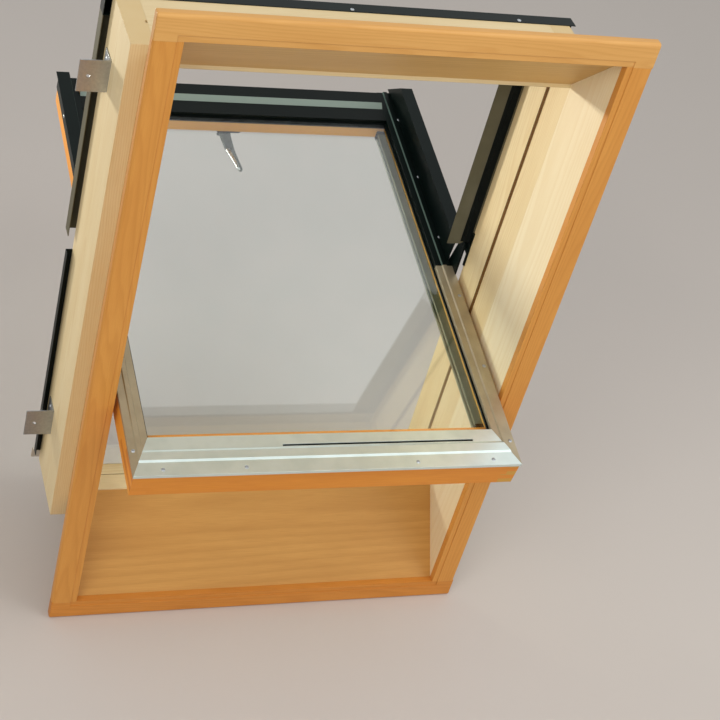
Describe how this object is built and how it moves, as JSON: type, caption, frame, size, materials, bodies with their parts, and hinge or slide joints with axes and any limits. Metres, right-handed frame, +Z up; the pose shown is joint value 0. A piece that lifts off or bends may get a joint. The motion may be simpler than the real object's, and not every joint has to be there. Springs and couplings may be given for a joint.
{
  "type": "roof skylight",
  "caption": "Centre-pivot roof skylight with a wooden frame, splayed lining and casing, and a double-glazed sash held half turned for cleaning.",
  "frame": {"origin": "centre of the four fixing brackets, on the plane where they seat on the battens, level with the sash pivot", "axes": "+Z up the roof slope along the window's height, +X to the right seen from the room, +Y out through the roof"},
  "size_m": [1.062, 1.1391, 1.539],
  "materials": {
    "casing_pine": "clear satin lacquer on pine",
    "lining_pine": "clear satin lacquer on pine",
    "frame_pine": "clear satin lacquer on pine",
    "sash_pine": "clear satin lacquer on pine",
    "dark_cladding": "satin dark paint",
    "grey_cladding": "matt grey coating",
    "silver_cladding": "silver lacquer",
    "cover_grey": "satin grey-brown paint",
    "black_coat": "satin black coat",
    "zinc_steel": "zinc plated",
    "glass": "polished",
    "rubber_black": "matt",
    "rubber_brown": "matt",
    "spacer_grey": "matt",
    "plastic_black": "fine grained",
    "rail_alu": "anodised",
    "handle_silver": "satin"
  },
  "bodies": {
    "frame": {"casing_head": "casing_pine", "casing_sill": "casing_pine", "casing_left": "casing_pine", "casing_right": "casing_pine", "lining_head": "lining_pine", "lining_sill": "lining_pine", "lining_left": "lining_pine", "lining_right": "lining_pine", "frame_head": "frame_pine", "frame_sill": "frame_pine", "frame_stile_left": "frame_pine", "frame_stile_right": "frame_pine", "sill_gasket": "rubber_brown", "stile_gasket_left": "rubber_brown", "stile_gasket_right": "rubber_brown", "head_hood": "dark_cladding", "sill_cover": "silver_cladding", "lower_side_cover_left": "dark_cladding", "lower_side_cover_right": "dark_cladding", "upper_side_cover_left": "cover_grey", "upper_side_cover_right": "cover_grey", "cover_seal_left": "rubber_black", "cover_seal_right": "rubber_black", "lock_keepers": "zinc_steel", "fixing_brackets": "zinc_steel", "frame_screws": "zinc_steel", "hinge_plate_left": "black_coat", "hinge_plate_right": "black_coat"},
    "sash": {"sash_top_rail": "sash_pine", "sash_bottom_rail": "sash_pine", "sash_stile_left": "sash_pine", "sash_stile_right": "sash_pine", "outer_pane": "glass", "inner_pane": "glass", "glass_spacer": "spacer_grey", "glazing_tape": "rubber_black", "glazing_gasket": "rubber_black", "top_cladding": "silver_cladding", "vent_strip": "plastic_black", "bottom_cladding": "dark_cladding", "upper_side_cladding_left": "grey_cladding", "upper_side_cladding_right": "grey_cladding", "lower_side_cladding_left": "dark_cladding", "lower_side_cladding_right": "dark_cladding", "raised_side_cover_left": "dark_cladding", "raised_side_cover_right": "dark_cladding", "pivot_arm_left": "black_coat", "pivot_arm_right": "black_coat", "guide_rail_left": "rail_alu", "guide_rail_right": "rail_alu", "guide_rail_caps": "plastic_black", "handle_base": "plastic_black", "lock_case": "zinc_steel", "lock_faceplate": "zinc_steel", "sash_screws": "zinc_steel"},
    "handle": {"handle_lever": "handle_silver", "handle_spindle": "zinc_steel", "lock_pinion": "zinc_steel"},
    "lock_bar": {"lock_bar": "zinc_steel"}
  },
  "joints": [
    {"name": "sash_pivot", "type": "hinge", "parent": "frame", "child": "sash", "pos_m": [0, 0.085, 0], "axis": [1, 0, 0], "range_deg": [-99, 76]},
    {"name": "handle_turn", "type": "hinge", "parent": "sash", "child": "handle", "pos_m": [-0.009, 0.61637, -0.06599], "axis": [0, -0.1564, 0.9877], "range_deg": [0, 90]},
    {"name": "lock_slide", "type": "slide", "parent": "sash", "child": "lock_bar", "axis": [-1, 0, 0], "range_m": [0, 0.018]}
  ],
  "couplings": [
    {"joint": "lock_slide", "follows": "handle_turn", "m_per_rad": 0.011459}
  ]
}
